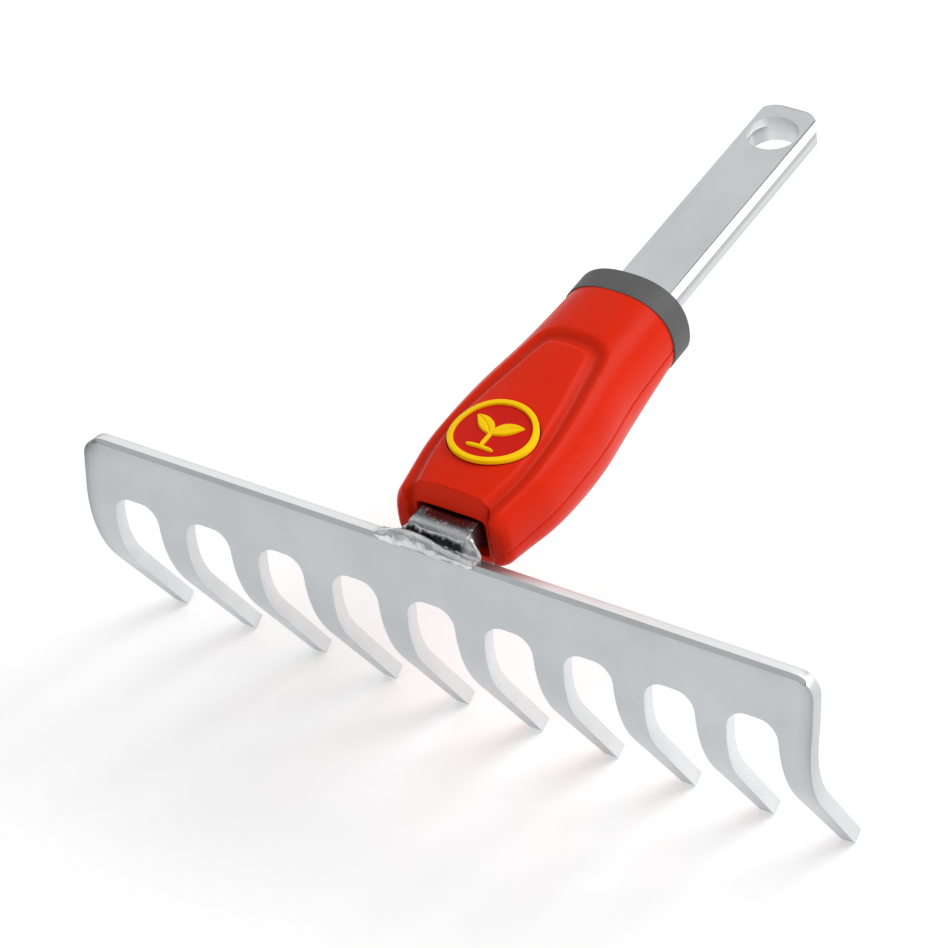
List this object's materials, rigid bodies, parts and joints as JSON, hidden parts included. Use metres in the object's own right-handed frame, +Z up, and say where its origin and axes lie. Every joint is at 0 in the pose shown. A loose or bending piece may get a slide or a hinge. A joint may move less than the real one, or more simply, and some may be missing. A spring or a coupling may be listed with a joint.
{
  "type": "hand rake head",
  "caption": "Bent steel garden rake comb welded to a flat tang, with a two-shell plastic lock housing, oval collar and push-button for a quick-change handle.",
  "frame": {"origin": "middle of the tang's section in the plane of the collar's rear face, where the handle's end seats", "axes": "+X along the comb, +Y along the tang towards the handle, +Z up, square to the tang's top face; the tines point down and back"},
  "size_m": [0.19, 0.172, 0.0771],
  "materials": {
    "plated_steel": "satin zinc plate with faint stains",
    "polished_tang": "glossy zinc plate",
    "weld": "rough plated weld bead",
    "red_plastic": "semi-gloss moulded plastic",
    "dark_red_plastic": "satin moulded plastic",
    "yellow_plastic": "satin moulded plastic",
    "grey_plastic": "matte soft-touch plastic",
    "black_plastic": "matte",
    "lock_steel": "plain machined steel",
    "spring_steel": "drawn wire"
  },
  "bodies": {
    "head": {"rake_comb": "plated_steel", "tang_bar": "polished_tang", "weld_bead_top": "weld", "weld_bead_under": "weld", "upper_shell": "red_plastic", "lower_shell": "red_plastic", "collar_ring": "grey_plastic", "nose_block": "black_plastic", "housing_screw": "lock_steel", "button_spring": "spring_steel"},
    "button": {"button_cap": "dark_red_plastic", "button_ring": "yellow_plastic", "button_badge": "yellow_plastic", "lock_bolt": "lock_steel", "retaining_clip": "spring_steel"}
  },
  "joints": [
    {"name": "button_press", "type": "slide", "parent": "head", "child": "button", "axis": [0, 0, 1], "range_m": [-0.002, 0], "stiffness_N_per_m": 1500, "springref_m": 0.003, "deforming": ["button_spring"]}
  ]
}
